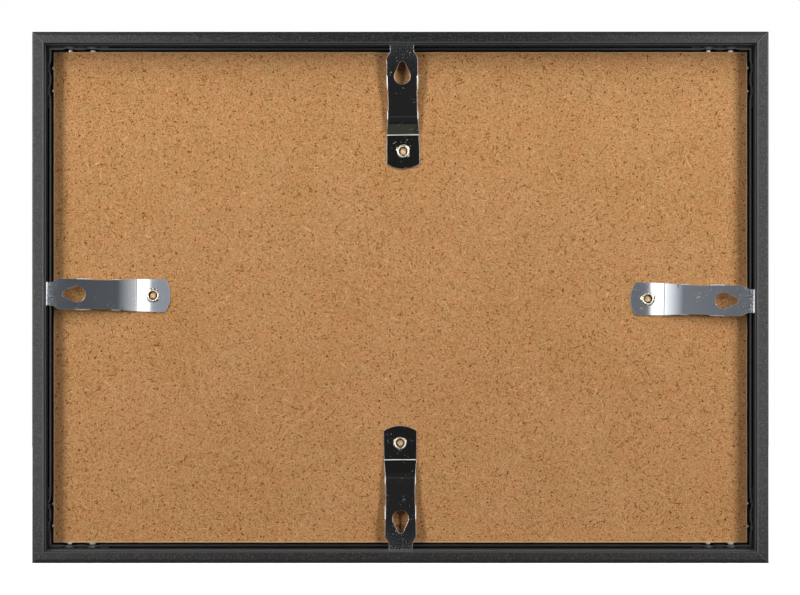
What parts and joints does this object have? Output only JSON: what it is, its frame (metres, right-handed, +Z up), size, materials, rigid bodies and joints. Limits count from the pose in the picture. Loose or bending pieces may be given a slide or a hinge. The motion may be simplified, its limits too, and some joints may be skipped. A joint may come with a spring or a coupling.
{
  "type": "clip-back picture frame",
  "caption": "Black aluminium picture frame with glass, blank insert and hardboard back, held by riveted spring clips that swivel free of the rail lip and have teardrop hanging holes.",
  "frame": {"origin": "seat of the nail in the narrow end of the top clip's teardrop hole, on the plane of the wall", "axes": "+X to the right as seen from the back, +Y from the back to the glazed front, +Z up"},
  "size_m": [0.3126, 0.016, 0.2256],
  "materials": {
    "rail": "black coat, semi-gloss, fine speckle",
    "corner_key": "dark, like the channel that hides it",
    "glass": "clear float glass",
    "insert": "plain matt paper",
    "hardboard": "hardboard, smooth side, fine fibre flecks",
    "clip": "bright plated spring steel",
    "rivet": "plated, worn at the rolled end"
  },
  "bodies": {
    "frame": {"rail_bottom": "rail", "rail_right": "rail", "rail_top": "rail", "rail_left": "rail", "corner_key_bottom_left": "corner_key", "corner_key_bottom_right": "corner_key", "corner_key_top_right": "corner_key", "corner_key_top_left": "corner_key", "glass_pane": "glass", "insert_sheet": "insert", "back_board": "hardboard", "clip_rivet_top": "rivet", "board_plug_top": "hardboard", "clip_rivet_right": "rivet", "board_plug_right": "hardboard", "clip_rivet_bottom": "rivet", "board_plug_bottom": "hardboard", "clip_rivet_left": "rivet", "board_plug_left": "hardboard"},
    "clip_top": {"spring_clip_top": "clip"},
    "clip_right": {"spring_clip_right": "clip"},
    "clip_bottom": {"spring_clip_bottom": "clip"},
    "clip_left": {"spring_clip_left": "clip"}
  },
  "joints": [
    {"name": "clip_top_swivel", "type": "hinge", "parent": "frame", "child": "clip_top", "pos_m": [0.00046, 0.0092, -0.03745], "axis": [0, -1, 0], "range_deg": [-180, 180]},
    {"name": "clip_right_swivel", "type": "hinge", "parent": "frame", "child": "clip_right", "pos_m": [0.10516, 0.0092, -0.10049], "axis": [0, -1, 0], "range_deg": [-180, 180]},
    {"name": "clip_bottom_swivel", "type": "hinge", "parent": "frame", "child": "clip_bottom", "pos_m": [-0.00084, 0.0092, -0.16225], "axis": [0, -1, 0], "range_deg": [-180, 180]},
    {"name": "clip_left_swivel", "type": "hinge", "parent": "frame", "child": "clip_left", "pos_m": [-0.10664, 0.0092, -0.09905], "axis": [0, -1, 0], "range_deg": [-180, 180]}
  ]
}
